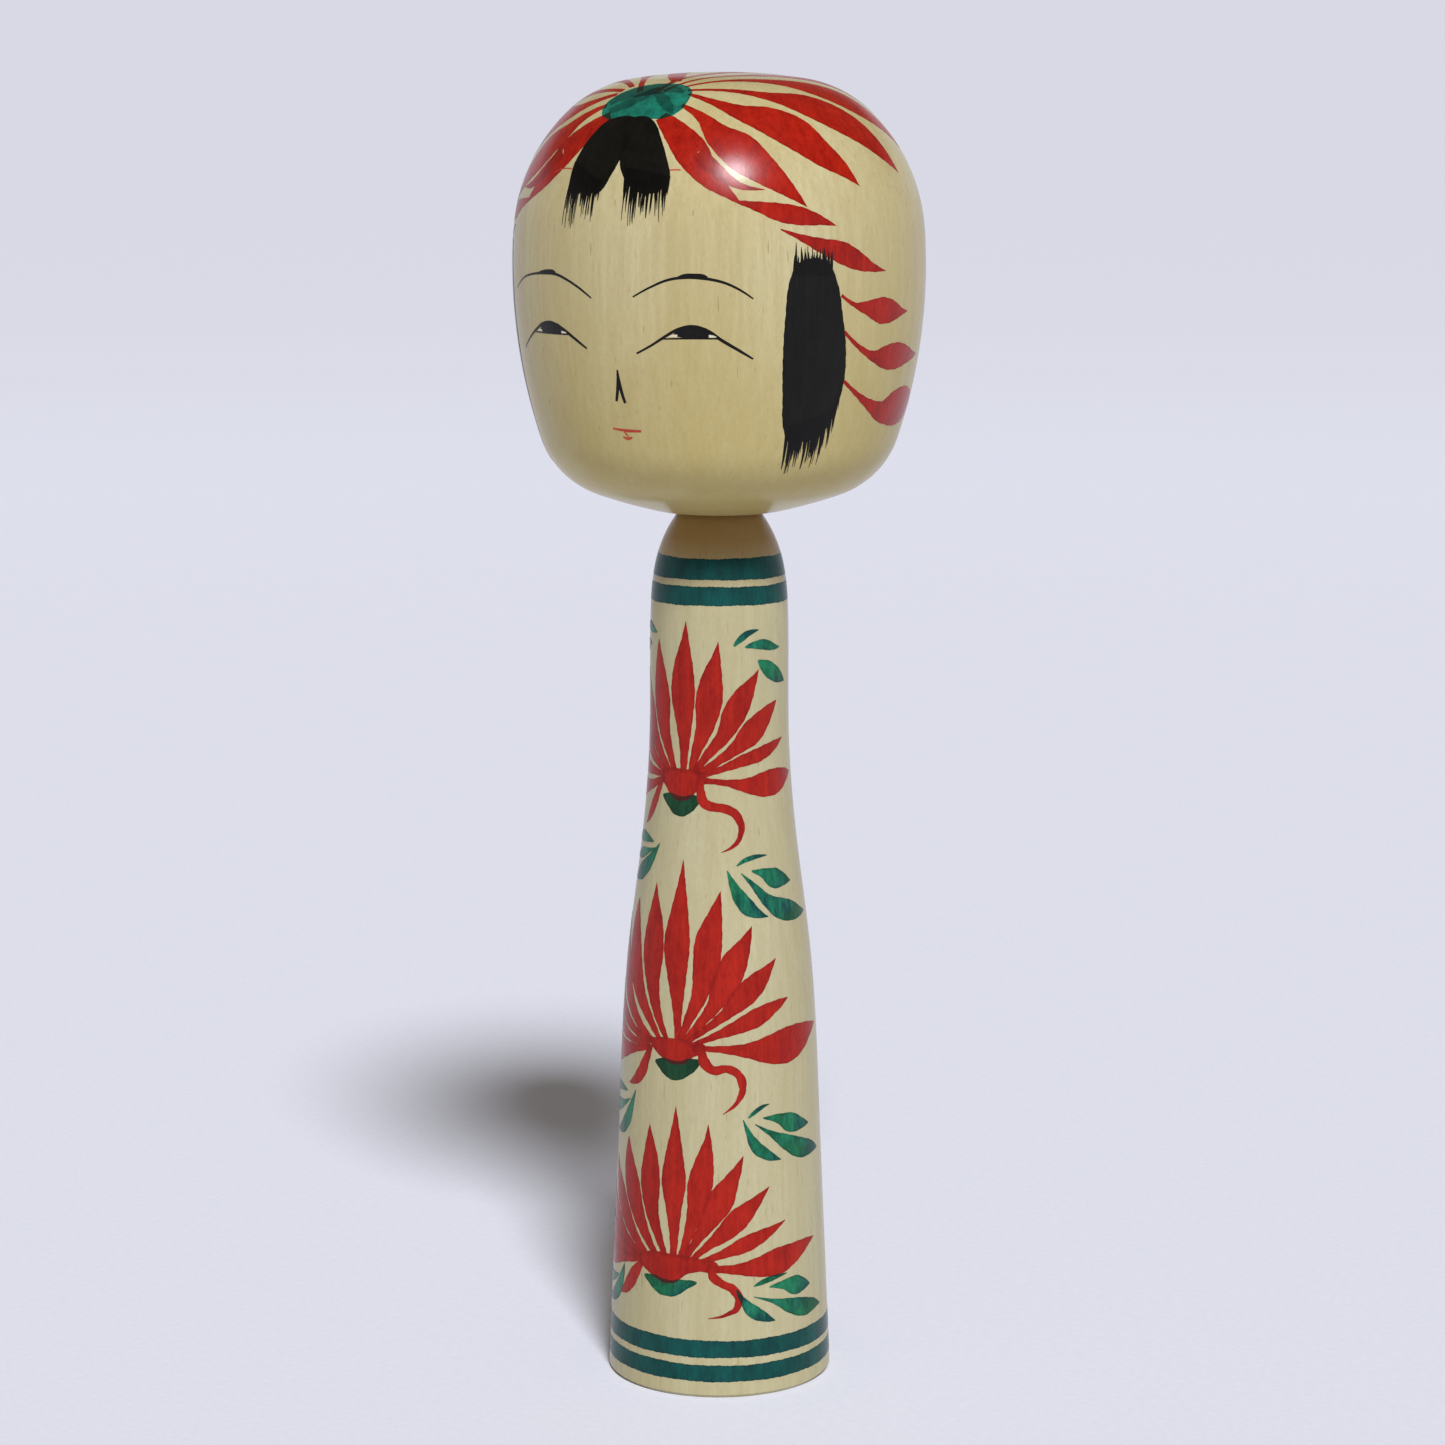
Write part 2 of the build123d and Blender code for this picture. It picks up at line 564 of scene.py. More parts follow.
def make_wood(name, pale, deep, warm, streak, pore, painted_shade, shade_from, shade_to, most):
    """Pale dogwood under wax: soft clouds, fine vertical fibres and short darker pores. From one
    height to another, in metres, it is browned by painted shade, up to the share most."""
    graph = Graph(name)
    cloud = graph.spread(graph.noise(*CLOUDS), 0.3, 0.7)
    rings = graph.spread(graph.noise(*GROWTH_RINGS), 0.35, 0.7)
    fibres = wood_fibres(graph)
    base = graph.mix(cloud, colour(*deep), colour(*pale))
    base = graph.mix(graph.math("MULTIPLY", rings, 0.35), base, colour(*warm))
    base = graph.mix(graph.spread(fibres, 0.38, 0.62, 0.0, 0.34), base, colour(*streak))
    pores = graph.spread(graph.noise(*PORES), 0.70, 0.80)
    base = graph.mix(graph.math("MULTIPLY", pores, 0.5), base, colour(*pore))
    # Painted shade: between the two heights the wood is mixed towards a browner colour
    level = graph.add("ShaderNodeSeparateXYZ", Vector=graph.place()).outputs["Z"]
    base = graph.mix(graph.spread(level, shade_from, shade_to, 0.0, most), base, colour(*painted_shade))
    graph.set(graph.shader, "Base Color", base)
    rough = graph.spread(graph.noise(*WOOD_GLOSS), 0.3, 0.7, 0.21, 0.27)
    height = graph.math("ADD", fibres, graph.math("MULTIPLY", pores, -0.5))
    return graph.gloss(rough, height, FIBRE_DEPTH, Specular_IOR_Level=WAX_SPECULAR)


def make_dye(name, slot, thin, full, dark, rough, blots=0.5, pooling=0.25, flow=0.25,
             wood_shows=0.7, doubling=0.25, other=None):
    """Water-based dye brushed on wood: blotchy, pooled along its edges and towards the end of a
    stroke, with the wood's fibres showing through. Its colours are where it is thin, where it is
    full and where strokes cross, and other is a second hue that the full colour drifts to. The
    slot names the record's material that it belongs to; it is handed back but not used."""
    graph = Graph(name)
    thin, full, dark = colour(*thin), colour(*full), colour(*dark)
    fibres = wood_fibres(graph)
    blot = graph.spread(graph.noise(*BLOTS), 0.34, 0.66)
    pool = graph.spread(graph.fact("edge"), 0.0, 0.5, pooling, 0.0)
    amount = graph.math("ADD", graph.math("MULTIPLY", blot, blots), pool)
    amount = graph.math("ADD", amount, graph.math("MULTIPLY", graph.fact("tone"), 0.4))
    amount = graph.math("ADD", amount, graph.math("MULTIPLY", graph.fact("along"), flow))
    grain = graph.spread(fibres, 0.36, 0.64, 0.0, wood_shows)
    amount = graph.math("SUBTRACT", amount, grain)
    if other:
        full = graph.mix(graph.spread(graph.noise(*HUES), 0.42, 0.58), full, colour(*other))
    base = graph.mix(graph.spread(amount, -0.3, 0.9), thin, full)
    flecks = graph.spread(graph.noise(*FLECKS), 0.68, 0.76, 0.0, 0.5)
    base = graph.mix(flecks, base, thin)
    crossing = graph.spread(graph.fact("overlap"), 0.0, 3.0, 0.0, 3 * doubling)
    base = graph.mix(crossing, base, dark)
    base = graph.mix(graph.math("MULTIPLY", graph.fact("under"), 0.85), base, DYE_CROSSED)
    graph.set(graph.shader, "Base Color", base)
    roughness = graph.spread(graph.noise(*DYE_GLOSS), 0.3, 0.7, rough - 0.03, rough + 0.03)
    return graph.gloss(roughness, fibres, FIBRE_DEPTH, Specular_IOR_Level=WAX_SPECULAR), slot


DYES = {
    "red": make_dye("red_dye", "red_dye", (162, 30, 14), (116, 6, 3), (86, 3, 2), 0.25, flow=0.1),
    "lip": make_dye("lip_red", "red_dye", (189, 92, 64), (158, 44, 30), (140, 30, 22), 0.36),
    "leaf": make_dye(
        "leaf_green", "green_dye", (36, 136, 94), (1, 66, 38), (1, 34, 24), 0.26, blots=0.6,
        pooling=0.2, flow=0.6, wood_shows=0.45, doubling=0.5, other=(1, 58, 54)
    ),
    "deep": make_dye("deep_green", "green_dye", (22, 68, 40), (4, 32, 16), (3, 22, 11), 0.26),
    "crown": make_dye(
        "crown_green", "green_dye", (28, 122, 98), (6, 58, 50), (4, 36, 32), 0.24, blots=0.6,
        pooling=0.1, flow=0.0, wood_shows=0.5, doubling=0.55
    ),
    "band": make_dye(
        "band_green", "green_dye", (2, 74, 68), (1, 40, 39), (1, 30, 30), 0.27, blots=0.6,
        wood_shows=0.5
    ),
    "ink": make_dye("black_ink", "black_ink", (20, 18, 14), (7, 6, 5), (5, 4, 3), 0.26),
    "white": make_dye("eye_white", "wood", (216, 208, 186), (200, 192, 166), (190, 180, 150), 0.4),
}
# The head's wood carries painted shade: browner downwards from 206 mm to 170 mm, towards the jaw and the
# underside
HEAD_WOOD = make_wood(
    "waxed_wood_head", pale=(190, 180, 140), deep=(177, 163, 113), warm=(170, 149, 99),
    streak=(154, 133, 86), pore=(127, 102, 62), painted_shade=(178, 158, 88), shade_from=0.206, shade_to=0.170,
    most=0.5
)
# The body's neck, under the head, carries painted shade: browner upwards from 148 mm to 157 mm
BODY_WOOD = make_wood(
    "waxed_wood_body", pale=(182, 176, 143), deep=(170, 160, 120), warm=(164, 150, 108),
    streak=(151, 137, 96), pore=(125, 105, 68), painted_shade=(140, 98, 34), shade_from=0.148, shade_to=0.157,
    most=0.75
)


# ---- the painting on the head

HEAD = Turned("head")
BODY = Turned("body")
FACE = Wrap(HEAD, 35.0)
CROWN = Crown(HEAD)

# Petals round the crown, on the Crown chart: (x, y, half width) along each one, from the green
# spot outwards. They are the same on both sides, but for the brush's own unevenness.
CROWN_PETALS = [
    [(5.5, -29.5, 1.2), (10, -32, 2.4), (15, -34.6, 3.2), (20, -36.9, 2.2), (25, -37.4, 1),
     (29, -37.3, 0.05)],
    [(16, -34, 1.4), (21, -35.2, 1.3), (26, -35, 0.7), (31, -31.9, 0.05)],
    [(8, -26, 0.4), (13, -27.3, 1.1), (18, -29.3, 2.7), (23, -29.5, 3.8), (28, -29.2, 3.1),
     (33.5, -28.2, 1.8), (39.4, -26.6, 0.05)],
    [(7.5, -22.7, 0.4), (13.3, -23, 0.9), (18.3, -22.5, 1.9), (23.5, -20.3, 3.4), (28.5, -18.2, 3.9),
     (33.8, -16.5, 3), (38.3, -13.9, 1.7), (42.4, -11.6, 0.05)],
    [(6.8, -21.6, 0.35), (13.9, -18.1, 0.6), (19.3, -15.2, 1.3), (25.3, -10.3, 3.3), (29.5, -6.6, 3.7),
     (33, -3, 3.4), (37.3, 1.1, 2.2), (41.4, 5.2, 0.05)],
    [(5.5, -20.5, 0.3), (11, -14.3, 0.6), (17, -8.3, 1.6), (22, -3, 3.1), (26.3, 2.8, 3.6), (30, 9, 2.4),
     (33.5, 15.8, 0.05)],
    [(2.5, -23, 0.4), (7, -13.5, 0.5), (11.5, -5, 1.4), (16, 4, 2.9), (20, 12.5, 3.5), (24, 20.5, 2.4),
     (28, 28.5, 0.05)],
    [(1.2, -23, 0.6), (3, -13.5, 0.6), (4.6, -4, 1.4), (6.6, 6, 2.8), (8.6, 16, 3.5), (10.4, 26, 2.5),
     (12, 36.5, 0.05)],
]
# One more in the middle of the back
BACK_PETAL = [
    (2.5, -18.5, 0.9), (0.3, -14.8, 1.5), (-2.8, -9.5, 1.6), (-6, -2, 1.8), (-8, 7, 2.8), (-9, 18, 3.4),
    (-9.4, 28.5, 2.3), (-9, 37.5, 0.05),
]
# The doll's right side has one petal fewer, and its petals are a little broader
BROADER = 0.2
RIGHT_PETALS = [
    [(x, y, half + BROADER) for x, y, half in rows[:-1]] + rows[-1:] for rows in CROWN_PETALS[:-1]
]
# The green spot is dabbed, so that it is darker where the dabs cross
SPOT_DABS = [
    [(-7.6, -25.6, 0.8), (-4, -23.4, 1.7), (0, -22.3, 2), (4, -21.9, 1.2), (6.4, -22.6, 0.3)],
    [(-6.6, -28, 0.7), (-3.2, -26.6, 1.4), (-0.6, -24.2, 1.3), (0.8, -21.4, 0.5)],
    [(0.6, -23.2, 0.3), (2.6, -24.4, 0.9), (5.4, -26.8, 1), (7.4, -28.4, 0.3)],
]
GREEN_SPOT = [
    (8.5, -24.6), (7.6, -21.6), (5, -19.9), (1.5, -19.6), (-2.5, -20.3), (-6.3, -22.3), (-8.6, -25.4),
    (-8.2, -28.2), (-5.6, -30.2), (-1.5, -30), (3, -30.4), (6.6, -29.6), (8.4, -27.4),
]

# The rest is on the Face chart: (azimuth, depth, half width)
SIDE_STROKES = [
    [(36, 46.5, 0.2), (42, 47.4, 0.9), (48, 48.4, 1.6), (55, 49.2, 1.5), (60, 49.9, 0.8),
     (64.5, 50.8, 0.05)],
    [(48, 51.3, 0.12), (54, 52.8, 0.6), (60, 54.2, 1.3), (66, 55.4, 1.9), (72, 57, 1.6), (77, 58.1, 0.8),
     (82.5, 58.8, 0.05)],
    [(66, 62.7, 0.3), (71, 64.5, 0.5), (76, 65.1, 1.4), (81, 65.6, 2.3), (87, 65.9, 1.8), (91, 66.1, 0.8),
     (95, 66.1, 0.05)],
    [(67.5, 69, 0.3), (73, 71.7, 0.45), (79, 73.5, 0.9), (85, 73.9, 2.1), (91, 73.9, 2.4), (98, 74, 1.6),
     (103, 74.2, 0.8), (108, 74.1, 0.05)],
    [(69, 77.7, 0.3), (75, 80.3, 0.5), (81, 82.3, 1), (88, 83.8, 2), (94, 83.5, 3.2), (101, 83.3, 3.6),
     (109, 83.3, 2.7), (118, 82.8, 0.1)],
]
FRINGE_LOBES = [
    [(-3, 29.9), (-7, 30.2), (-10.6, 31), (-14, 34), (-16, 38), (-16.3, 41), (-15.6, 42.2), (-12, 43.2),
     (-8, 44.4), (-5, 45.4), (-3.4, 44.8), (-1, 42), (0.7, 39.2), (2, 36), (3, 31)],
    [(3, 29.9), (6, 30.2), (9.4, 31.6), (13, 35), (16, 39), (17.4, 42), (16.8, 43.6), (14, 44.9),
     (10.5, 45.2), (7, 44.4), (4.8, 43.4), (3, 42), (1.2, 40), (0.2, 36), (-2, 31)],
]
SIDE_LOCK = [
    (52.2, 57.4), (50.4, 60), (49.3, 66), (49, 72), (49.6, 80), (50.8, 86), (52.2, 88), (57.5, 88.4),
    (63, 87.6), (66.8, 84), (69, 78), (68.5, 72), (66.6, 66), (64.6, 60.5), (61.6, 57), (57, 56.2),
]
# The lines of the face: the dye, how ragged its edges are, and the strokes. An eye's strokes are
# its upper lid, lower lid and iris, and the white shows on either side of the iris.
FACE_PARTS = {
    "brow_left": ("ink", 0.02, [
        [(8, 62.8, 0.13), (13, 61.1, 0.18), (18, 59.8, 0.22), (22, 59.4, 0.26), (27, 59.5, 0.26),
         (33, 60.3, 0.22), (37, 61.5, 0.19), (40.5, 63, 0.12)],
        [(20.6, 59.3, 0.1), (22, 59.15, 0.33), (25, 59.1, 0.38), (27.6, 59.25, 0.35), (28.4, 59.35, 0.15)],
    ]),
    "brow_right": ("ink", 0.02, [
        [(-43, 62.3, 0.1), (-36, 60.3, 0.17), (-29, 59.5, 0.2), (-24, 59.3, 0.24), (-18, 59.4, 0.24),
         (-13, 60.4, 0.2), (-9, 61.6, 0.19), (-5, 63.2, 0.13)],
        [(-27.5, 59.4, 0.1), (-25, 59.15, 0.28), (-21.5, 58.95, 0.36), (-19, 59.1, 0.32),
         (-18.2, 59.3, 0.12)],
    ]),
    "eye_left": ("ink", 0.02, [
        [(8.5, 72.5, 0.17), (13, 71, 0.2), (17, 69.4, 0.24), (20.5, 68.2, 0.27), (24.5, 67.7, 0.28),
         (28.3, 68.4, 0.27), (32, 70, 0.28), (36.5, 71.7, 0.25), (40.7, 73.3, 0.15)],
        [(16.2, 69.9, 0.12), (24, 69.75, 0.16), (32, 69.8, 0.12)],
        [(19.4, 69.2, 0.25), (21.4, 68.8, 0.85), (24.6, 68.65, 1.02), (27.8, 68.85, 0.85),
         (29.8, 69.25, 0.3)],
    ]),
    "eye_white_left": ("white", 0, [
        [(17.8, 69.5, 0.04), (18.8, 69.35, 0.15), (20.2, 69.35, 0.24)],
        [(28.7, 69.35, 0.24), (30, 69.4, 0.15), (30.8, 69.5, 0.04)],
    ]),
    "eye_right": ("ink", 0.02, [
        [(-40, 72.9, 0.1), (-35, 71, 0.17), (-29.5, 69.2, 0.25), (-25.5, 68.1, 0.27), (-21.5, 67.8, 0.28),
         (-17, 68.6, 0.27), (-12.5, 70.1, 0.27), (-7.6, 72, 0.16)],
        [(-30.5, 69.7, 0.11), (-22, 69.7, 0.16), (-13.8, 69.7, 0.12)],
        [(-27, 69.2, 0.25), (-25, 68.85, 0.8), (-21.6, 68.7, 0.98), (-18, 68.85, 0.8), (-16, 69.25, 0.25)],
    ]),
    "eye_white_right": ("white", 0, [
        [(-28.8, 69.45, 0.04), (-27.8, 69.35, 0.15), (-26.4, 69.35, 0.22)],
        [(-17, 69.35, 0.22), (-15.8, 69.4, 0.15), (-14.9, 69.45, 0.04)],
    ]),
    "nose": ("ink", 0.02, [
        [(2.1, 75.5, 0.14), (1.8, 78.2, 0.3), (0.7, 81.1, 0.24)],
        [(2.1, 75.5, 0.14), (2.5, 78.4, 0.31), (3.5, 81.4, 0.25)],
    ]),
    "mouth": ("lip", 0.04, [
        [(-2, 86.1, 0.14), (2.5, 86.4, 0.27), (7.6, 86.4, 0.2)],
        [(1.2, 87.6, 0.14), (2.8, 87.9, 0.26), (4.4, 87.6, 0.14)],
        [(1.8, 86.6, 0.08), (2.5, 87.1, 0.16), (3.2, 87.6, 0.1)],
    ]),
    "forehead_line": ("lip", 0.03, [
        [(16.6, 41, 0.1), (18.4, 40.9, 0.13), (20.4, 40.9, 0.12)],
        [(-16, 41, 0.08), (-20, 40.8, 0.12), (-25, 41.6, 0.1)],
    ]),
}

# Strands that a dry brush leaves past the end of a black patch. They stand side by side between
# two azimuths. The depth where they start, and their length, change evenly from first to last.
Strands = namedtuple("Strands", "azimuths starts lengths half count lean")
FRINGE_STRANDS = [
    Strands((-16.2, -4.2), (39.5, 43.0), (9.0, 4.6), 0.32, 40, 0.5),
    Strands((-16.0, -5.0), (41.0, 44.0), (11.0, 6.0), 0.16, 26, 0.5),
    Strands((3.6, 17.2), (40.5, 42.0), (7.6, 5.2), 0.32, 44, 0.5),
    Strands((4.4, 16.8), (43.0, 43.0), (8.0, 7.4), 0.16, 26, 0.5),
]
LOCK_STRANDS = [
    Strands((51.8, 64.8), (85.4, 83.4), (9.6, 9.8), 0.27, 64, 0.6),
    Strands((51.6, 62.8), (59.0, 59.4), (-5.6, -5.0), 0.30, 40, 0.5),
    Strands((68.2, 65.8), (77.0, 83.6), (8.5, 7.0), 0.24, 14, 0.7),
]
SHORTEST_STRAND = 0.5


def bristles(strands, turn=1):
    """The strokes of some strands. turn is -1 on the doll's right side."""
    first, last = (azimuth * turn for azimuth in strands.azimuths)
    strokes = []
    for k in range(strands.count):
        share = (k + draw.uniform(0.1, 0.9)) / strands.count
        azimuth = first + (last - first) * share
        start = strands.starts[0] + (strands.starts[1] - strands.starts[0]) * share
        length = strands.lengths[0] + (strands.lengths[1] - strands.lengths[0]) * share
        end = start + length * draw.uniform(SHORTEST_STRAND, 1.0)
        lean = draw.uniform(-strands.lean, strands.lean)
        half = strands.half * draw.uniform(0.5, 1.1)
        middle = (azimuth + lean / 2, (start + end) / 2, half * 0.8)
        rows = [(azimuth, start, half), middle, (azimuth + lean, end, 0.03)]
        strokes.append(brush(FACE.flat(rows), 0.03))
    return strokes


def paint_crown():
    petals = []
    for mirror in (False, True):
        rows_of_side = RIGHT_PETALS if mirror else CROWN_PETALS
        petals += [brush(CROWN.flat(rows, mirror), 0.05) for rows in rows_of_side]
    petals.append(brush(BACK_PETAL, 0.05))
    paint("crown_petals", CROWN, petals, "red")
    dabs = [patch(GREEN_SPOT, 0.06), *(brush(rows, 0.1) for rows in SPOT_DABS)]
    paint("crown_green_spot", CROWN, dabs, "crown", under=petals, layer=1)


def paint_fringe():
    strokes = [patch(FACE.flat(lobe), 0.03) for lobe in FRINGE_LOBES]
    for strands in FRINGE_STRANDS:
        strokes += bristles(strands)
    paint("fringe", FACE, strokes, "ink", layer=2)


def paint_side(side, mirror):
    strokes = [brush(FACE.flat(rows, mirror), 0.06) for rows in SIDE_STROKES]
    paint(f"side_hair_strokes_{side}", FACE, strokes, "red")
    lock = [patch(FACE.flat(SIDE_LOCK, mirror), 0.05)]
    for strands in LOCK_STRANDS:
        lock += bristles(strands, -1 if mirror else 1)
    paint(f"side_lock_{side}", FACE, lock, "ink", under=strokes, layer=1)


def paint_face():
    for name, (dye, ragged, lines) in FACE_PARTS.items():
        strokes = [brush(FACE.flat(rows), ragged) for rows in lines]
        paint(name, FACE, strokes, dye, layer=1 if dye == "white" else 0)


# ---- the painting on the body

# Each flower has petals, a bowl that they stand in, a curl below on the left, and one short
# petal below on the right: (azimuth, height, half width).
FLOWERS = {}
TOP_PETALS = [
    [(1.3, 115, 0.6), (1.8, 119, 0.85), (1.2, 124, 1.6), (-0.2, 129.5, 2.4), (0.5, 134.5, 1.9),
     (2.2, 139, 0.8), (2.9, 142.6, 0.04)],
    [(-7, 115.3, 0.5), (-13, 118.5, 0.85), (-20, 122.5, 1.5), (-24, 128, 2.3), (-26, 132.5, 1.7),
     (-27.5, 136.5, 0.7), (-27.9, 138.8, 0.04)],
    [(-12, 115.2, 0.5), (-24, 118, 0.9), (-36, 121.5, 1.5), (-45, 125.5, 2), (-52, 129.5, 1.3),
     (-57, 133, 0.05)],
    [(-16, 115, 0.5), (-32, 116.8, 0.9), (-48, 119.3, 1.5), (-64, 122, 1.6), (-80, 125.4, 0.05)],
    [(-18, 114.3, 0.5), (-36, 114.5, 0.8), (-54, 115, 1.4), (-72, 116.3, 1.5), (-90, 118.5, 0.05)],
    [(-18, 113.6, 0.5), (-34, 112, 0.8), (-52, 110.9, 1.4), (-70, 110.5, 2), (-88, 112, 1.4),
     (-104, 114, 0.05)],
    [(8, 115.3, 0.5), (12.5, 119, 0.9), (19.5, 123.5, 1.6), (23, 128.5, 2.35), (25.8, 133, 1.7),
     (29, 136.5, 0.7), (30.5, 139.1, 0.04)],
    [(11, 115.2, 0.5), (22, 118.5, 0.8), (35, 122, 1.3), (44, 126, 2.1), (53, 129.5, 1.7), (60, 131.8, 0.8),
     (65.5, 133.8, 0.04)],
    [(14, 115, 0.5), (30, 117.3, 0.7), (45, 119.7, 1.2), (58, 122.2, 2.1), (70, 124.7, 1.7),
     (80, 126.7, 0.8), (85.5, 127.7, 0.1)],
    [(17, 114.7, 0.5), (34, 116, 0.6), (50, 117.3, 1), (65, 118.2, 1.2), (80, 119.4, 0.9),
     (94, 120.7, 0.05)],
    [(15, 113.9, 0.6), (38, 113.4, 0.6), (54, 112.8, 1.3), (68, 112.7, 2.1), (82, 113, 2.2),
     (95, 113.6, 1.4), (107, 114, 0.1)],
]
FLOWERS["top"] = {
    "radius": 12.9,
    "calyx_dye": "deep",
    "petals": TOP_PETALS,
    "bowl": [
        (-20.5, 114.8), (-12, 115.5), (0, 115.7), (12, 115.5), (20, 114.9), (21, 113.6), (15, 112.3),
        (8, 110.5), (0, 109.8), (-8, 110.4), (-15, 112), (-21, 113.6),
    ],
    "calyx": [
        (-18.5, 110.5), (-10, 111.1), (0, 110.7), (10, 111.1), (18, 110.8), (13, 108.8), (6, 107.4),
        (0, 107), (-6, 107.4), (-13, 108.9),
    ],
    "curl": [
        (17, 114, 0.6), (16.6, 111.6, 0.8), (21, 109.5, 0.9), (30, 109, 0.8), (40, 108.4, 0.8),
        (47, 106.6, 0.7), (48, 104.3, 0.5), (43, 102.2, 0.35), (33, 100.9, 0.05),
    ],
    "drop": [(-19, 113.8, 0.4), (-25, 111, 0.7), (-31, 108, 0.9), (-36, 106, 0.7), (-42, 104.4, 0.05)],
}
MIDDLE_PETALS = [
    [(6.3, 66.5, 0.45), (5.8, 72, 0.85), (4.5, 78, 1.7), (3.2, 84, 2.45), (4, 90, 1.7), (4.6, 95.5, 0.7),
     (4.8, 99.3, 0.04)],
    [(-1, 66.5, 0.4), (-7, 70, 0.75), (-13.2, 76, 1.45), (-15.3, 82, 2.4), (-15.8, 88, 1.8),
     (-16.8, 91.5, 0.8), (-17.3, 94.4, 0.04)],
    [(-6, 66.3, 0.4), (-14, 69.5, 0.8), (-24, 73.5, 1.4), (-33, 79, 2.2), (-36.5, 84, 1.9),
     (-37.5, 88, 1), (-37.8, 90.6, 0.15)],
    [(-10, 65.6, 0.4), (-22, 67.8, 0.8), (-36, 71.8, 1.4), (-47, 77, 2.1), (-54, 82, 1.7), (-59, 87, 0.05)],
    [(-13, 65.3, 0.4), (-30, 66.9, 0.8), (-48, 69.6, 1.4), (-62, 72.8, 1.5), (-74, 76.5, 0.05)],
    [(-13, 64.8, 0.4), (-32, 65, 0.7), (-50, 66.1, 1.2), (-66, 67.4, 1.4), (-82, 69.5, 0.05)],
    [(-12, 64.4, 0.4), (-28, 63.3, 0.8), (-42, 62.3, 1.6), (-60, 61.6, 2.6), (-78, 62.5, 2),
     (-96, 64.5, 0.05)],
    [(8, 66.5, 0.4), (12.5, 70, 0.75), (19.5, 75, 1.35), (23, 80, 2.15), (24.7, 85, 2.3), (28.5, 89.5, 1.3),
     (32.3, 93.9, 0.04)],
    [(10, 66.3, 0.4), (19, 69.5, 0.7), (28, 73, 1.2), (35, 77, 2.1), (41, 81, 2.2), (48, 84.5, 1.1),
     (53, 87.4, 0.04)],
    [(12, 66.2, 0.4), (25, 69.2, 0.6), (37, 72.1, 1.1), (46, 74.7, 1.9), (56, 77.4, 1.7), (64, 79.6, 0.7),
     (69, 81.1, 0.04)],
    [(14, 65.6, 0.4), (28, 67.5, 0.6), (42, 69.2, 1.2), (54, 70.7, 1.6), (65, 72.2, 1.1), (72, 73, 0.6),
     (77, 73.6, 0.04)],
    [(15, 65.3, 0.5), (32, 65.2, 0.6), (48, 64.8, 1.3), (62, 64.6, 2.5), (74, 64.8, 3.1), (86, 65.6, 2.6),
     (98, 66.5, 1.3), (109, 66.9, 0.06)],
]
FLOWERS["middle"] = {
    "radius": 16.2,
    "calyx_dye": "deep",
    "petals": MIDDLE_PETALS,
    "bowl": [
        (-14, 65.9), (-6, 66.6), (5, 66.7), (16, 66.4), (23.5, 65.8), (23, 64.6), (16, 63.6), (11, 62.3),
        (4, 62), (-4, 63), (-10, 64.3),
    ],
    "calyx": [
        (-8.7, 62.1), (-2, 62.9), (6, 62.6), (14, 63.3), (21, 63.1), (17, 61), (12, 59.8), (6, 59),
        (0, 59.4), (-5, 60.7),
    ],
    "curl": [
        (21.5, 65, 0.6), (23, 62.7, 0.9), (28, 61.3, 0.8), (35, 61.6, 0.75), (41, 60.9, 0.7),
        (44.6, 59, 0.7), (44.4, 57, 0.55), (41, 55.1, 0.35), (33.5, 53.2, 0.05),
    ],
    "drop": [(-12, 64.8, 0.4), (-16, 62, 0.8), (-20, 59.3, 1.1), (-25, 57.6, 0.9), (-32.5, 56.5, 0.08)],
}
LOW_PETALS = [
    [(6, 26, 0.6), (6.2, 30, 0.85), (5.7, 35, 1.5), (5.3, 40, 2.35), (5.5, 45, 1.75), (6, 50, 0.8),
     (6.1, 54.2, 0.04)],
    [(1, 26, 0.5), (-3.5, 29.5, 0.85), (-8.5, 34, 1.5), (-10.5, 39.5, 2.25), (-10.5, 44, 1.7),
     (-11.2, 47.5, 0.8), (-11.6, 50, 0.04)],
    [(-5, 26, 0.5), (-12, 29, 1), (-19.5, 33, 1.7), (-26, 38, 2.3), (-29.5, 42, 1.6), (-30.8, 45, 0.6),
     (-31, 46.3, 0.1)],
    [(-12, 25.8, 0.5), (-22, 28.5, 1.1), (-33, 32.5, 1.8), (-41, 36, 1.9), (-46, 39, 0.9),
     (-49, 41.5, 0.06)],
    [(-15, 25.3, 0.5), (-30, 27.2, 1.1), (-45, 30.5, 1.8), (-56, 33.6, 1.4), (-63, 36.5, 0.06)],
    [(-16, 24.8, 0.5), (-32, 25.3, 1.1), (-50, 27, 1.7), (-66, 29.3, 1.3), (-76, 31.3, 0.06)],
    [(-16, 24.3, 0.5), (-32, 23.5, 1.1), (-48, 22.7, 2), (-64, 23, 2.3), (-78, 24.5, 1.3),
     (-88, 26, 0.06)],
    [(10, 26, 0.5), (14, 30, 0.8), (18.3, 35, 1.5), (20.8, 40, 2.2), (23.5, 45, 1.5), (25, 48.5, 0.6),
     (25.2, 51.3, 0.04)],
    [(13, 26, 0.5), (19, 29.5, 0.8), (25.5, 33, 1.5), (32, 37, 2.3), (38.5, 41, 1.3), (42.5, 43.5, 0.6),
     (44.8, 45.3, 0.04)],
    [(17, 26, 0.5), (26, 28.8, 0.8), (34, 31, 1.5), (42, 33.6, 1.9), (51, 36.3, 1.1), (60, 39.1, 0.04)],
    [(22, 25.6, 0.5), (34, 27.2, 0.8), (45, 28.7, 1.4), (56, 30.2, 1.1), (63, 31.2, 0.6), (70, 32.3, 0.04)],
    [(24, 24.5, 0.6), (40, 24.2, 0.9), (52, 24.3, 1.7), (64, 24.8, 2.4), (76, 25.8, 1.8), (86, 26.8, 0.9),
     (93.8, 27.4, 0.05)],
]
